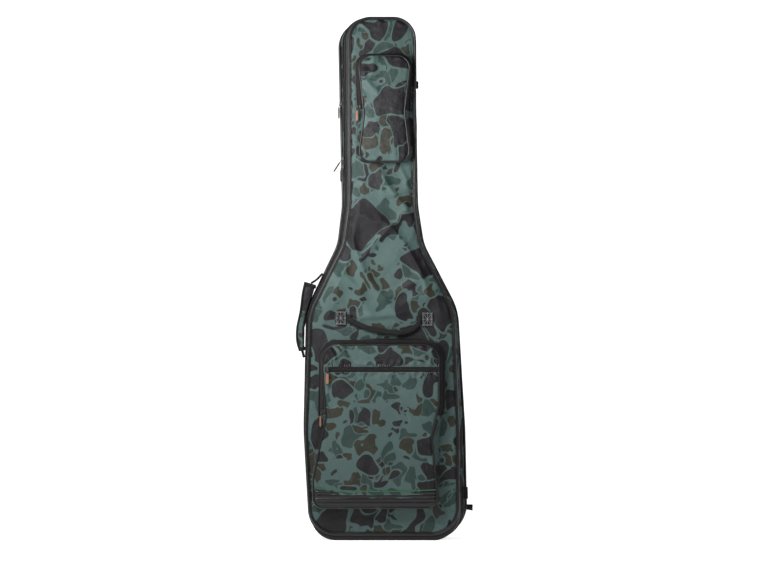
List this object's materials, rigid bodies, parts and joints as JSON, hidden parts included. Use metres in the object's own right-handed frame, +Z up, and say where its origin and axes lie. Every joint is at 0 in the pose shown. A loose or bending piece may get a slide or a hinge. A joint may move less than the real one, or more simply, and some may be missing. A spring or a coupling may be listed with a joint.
{
  "type": "padded gig bag",
  "caption": "Padded gig bag for a bass guitar, with a zip-round lid, two zip pockets, carry handles, shoulder straps and a neck cradle inside.",
  "frame": {"origin": "on the floor, in the plane of the main zip, under the middle of the bag at the bottom", "axes": "+X to the right as the bag is seen from the front, +Y from the front panel to the back panel, +Z up towards the headstock end"},
  "size_m": [0.425, 0.2141, 1.2495],
  "materials": {
    "camo_nylon": "matte woven nylon printed with lobed camouflage blobs",
    "black_nylon": "matte woven nylon",
    "piping": "satin",
    "zip_tape": "matte",
    "slider_metal": "satin",
    "pull_tab": "satin",
    "lining": "plush, matte",
    "foam": "matte",
    "guard_vinyl": "satin ribbed",
    "green_trim": "satin",
    "buckle_plastic": "satin",
    "webbing": "matte woven"
  },
  "bodies": {
    "bag": {"back_panel": "camo_nylon", "back_panel_neck": "camo_nylon", "back_piping": "piping", "gusset_rear": "camo_nylon", "gusset_rear_neck": "camo_nylon", "main_zip_rear_tape_neck": "zip_tape", "hinge_gusset": "camo_nylon", "back_lining": "lining", "main_zip_rear_tape": "zip_tape", "zip_tab_upper": "webbing", "zip_tab_lower": "webbing", "end_pad": "foam", "neck_block": "foam", "back_zip": "zip_tape", "side_handle_anchors": "webbing", "strap_top_patch": "webbing", "strap_top_webbing": "webbing", "strap_corner_tabs": "webbing"},
    "lid": {"front_panel": "camo_nylon", "front_piping": "piping", "front_gusset": "black_nylon", "front_gusset_neck": "black_nylon", "main_zip_front_tape": "zip_tape", "main_zip_front_tape_neck": "zip_tape", "lid_lining": "lining", "main_pocket_gusset": "camo_nylon", "main_pocket_zip": "zip_tape", "main_pocket_face": "camo_nylon", "headstock_pocket_gusset": "camo_nylon", "headstock_pocket_zip": "zip_tape", "headstock_pocket_face": "camo_nylon", "pocket_guard": "guard_vinyl", "guard_trim": "green_trim", "handle_patches": "webbing"},
    "main_flap": {"main_flap_panel": "camo_nylon", "slit_zip": "zip_tape"},
    "headstock_flap": {"headstock_flap_panel": "camo_nylon"},
    "front_handle": {"front_handle_webbing": "webbing"},
    "side_handle": {"side_handle_grip": "camo_nylon", "side_handle_webbing": "webbing"},
    "left_strap": {"left_strap_pad": "camo_nylon", "left_strap_webbing": "webbing", "left_strap_adjuster": "buckle_plastic"},
    "right_strap": {"right_strap_pad": "camo_nylon", "right_strap_webbing": "webbing", "right_strap_adjuster": "buckle_plastic"},
    "neck_strap_left": {"neck_strap_left": "webbing"},
    "neck_strap_right": {"neck_strap_right": "webbing"},
    "upper_main_slider": {"upper_main_slider": "slider_metal"},
    "upper_main_pull": {"upper_main_pull": "pull_tab"},
    "lower_main_slider": {"lower_main_slider": "slider_metal"},
    "lower_main_pull": {"lower_main_pull": "pull_tab"},
    "back_slider": {"back_slider": "slider_metal"},
    "back_pull": {"back_pull": "pull_tab"},
    "headstock_slider": {"headstock_slider": "slider_metal"},
    "headstock_pull": {"headstock_pull": "pull_tab"},
    "flap_slider": {"flap_slider": "slider_metal"},
    "flap_pull": {"flap_pull": "pull_tab"},
    "slit_slider": {"slit_slider": "slider_metal"},
    "slit_pull": {"slit_pull": "pull_tab"}
  },
  "joints": [
    {"name": "lid_hinge", "type": "hinge", "parent": "bag", "child": "lid", "pos_m": [0.196, 0, 0.122], "axis": [-0.0988, 0, 0.9951], "range_deg": [0, 90], "deforming": ["hinge_gusset"]},
    {"name": "main_flap_hinge", "type": "hinge", "parent": "lid", "child": "main_flap", "pos_m": [0, -0.09, 0.3003], "axis": [1, 0, 0], "range_deg": [0, 150]},
    {"name": "headstock_flap_hinge", "type": "hinge", "parent": "lid", "child": "headstock_flap", "pos_m": [0.005, -0.085, 1.0253], "axis": [1, 0, 0], "range_deg": [0, 150]},
    {"name": "upper_main_slide", "type": "slide", "parent": "bag", "child": "upper_main_slider", "axis": [-0.0116, 0, 0.9999], "range_m": [0, 0.26]},
    {"name": "upper_main_pull_swing", "type": "hinge", "parent": "upper_main_slider", "child": "upper_main_pull", "pos_m": [-0.09928, 0, 0.9075], "axis": [0, 1, 0], "range_deg": [0, 110]},
    {"name": "lower_main_slide", "type": "slide", "parent": "bag", "child": "lower_main_slider", "axis": [-0.0116, 0, 0.9999], "range_m": [-0.06, 0]},
    {"name": "lower_main_pull_swing", "type": "hinge", "parent": "lower_main_slider", "child": "lower_main_pull", "pos_m": [-0.09906, 0, 0.8885], "axis": [0, 1, 0], "range_deg": [0, 52]},
    {"name": "back_slide", "type": "slide", "parent": "bag", "child": "back_slider", "axis": [-0.0194, 0, 0.9998], "range_m": [-0.2, 0.036]},
    {"name": "back_pull_swing", "type": "hinge", "parent": "back_slider", "child": "back_pull", "pos_m": [-0.10453, 0.043, 1.0425], "axis": [0, 1, 0], "range_deg": [0, 150]},
    {"name": "headstock_slide", "type": "slide", "parent": "lid", "child": "headstock_slider", "axis": [-0.1039, 0, 0.9946], "range_m": [0, 0.065]},
    {"name": "headstock_pull_swing", "type": "hinge", "parent": "headstock_slider", "child": "headstock_pull", "pos_m": [-0.05991, -0.07662, 1.0285], "axis": [-0.6157, 0.788, 0], "range_deg": [0, 150]},
    {"name": "flap_slide", "type": "slide", "parent": "lid", "child": "flap_slider", "axis": [-0.0614, 0, 0.9981], "range_m": [0, 0.115]},
    {"name": "flap_pull_swing", "type": "hinge", "parent": "flap_slider", "child": "flap_pull", "pos_m": [-0.14612, -0.07952, 0.3035], "axis": [-0.4695, 0.8829, 0], "range_deg": [0, 150]},
    {"name": "slit_slide", "type": "slide", "parent": "main_flap", "child": "slit_slider", "axis": [1, 0, 0], "range_m": [0, 0.25]},
    {"name": "slit_pull_swing", "type": "hinge", "parent": "slit_slider", "child": "slit_pull", "pos_m": [-0.1295, -0.101, 0.405], "axis": [-1, 0, 0], "range_deg": [0, 150]},
    {"name": "front_handle_swing", "type": "hinge", "parent": "lid", "child": "front_handle", "pos_m": [0.005, -0.0625, 0.5295], "axis": [-1, 0, 0], "range_deg": [0, 150]},
    {"name": "side_handle_swing", "type": "hinge", "parent": "bag", "child": "side_handle", "pos_m": [-0.1885, 0.03, 0.4345], "axis": [0.2169, 0, 0.9762], "range_deg": [-10, 15]},
    {"name": "left_strap_swing", "type": "hinge", "parent": "bag", "child": "left_strap", "pos_m": [-0.16, 0.0635, 0.112], "axis": [0.2088, 0.0144, 0.9778], "range_deg": [-20, 20]},
    {"name": "right_strap_swing", "type": "hinge", "parent": "bag", "child": "right_strap", "pos_m": [0.16, 0.0635, 0.112], "axis": [-0.2088, 0.0144, 0.9778], "range_deg": [-20, 20]},
    {"name": "neck_strap_left_hinge", "type": "hinge", "parent": "bag", "child": "neck_strap_left", "pos_m": [-0.049, 0.0132, 0.729], "axis": [0, 0, -1], "range_deg": [0, 90]},
    {"name": "neck_strap_right_hinge", "type": "hinge", "parent": "bag", "child": "neck_strap_right", "pos_m": [0.049, 0.0132, 0.729], "axis": [0, 0, 1], "range_deg": [0, 90]}
  ]
}
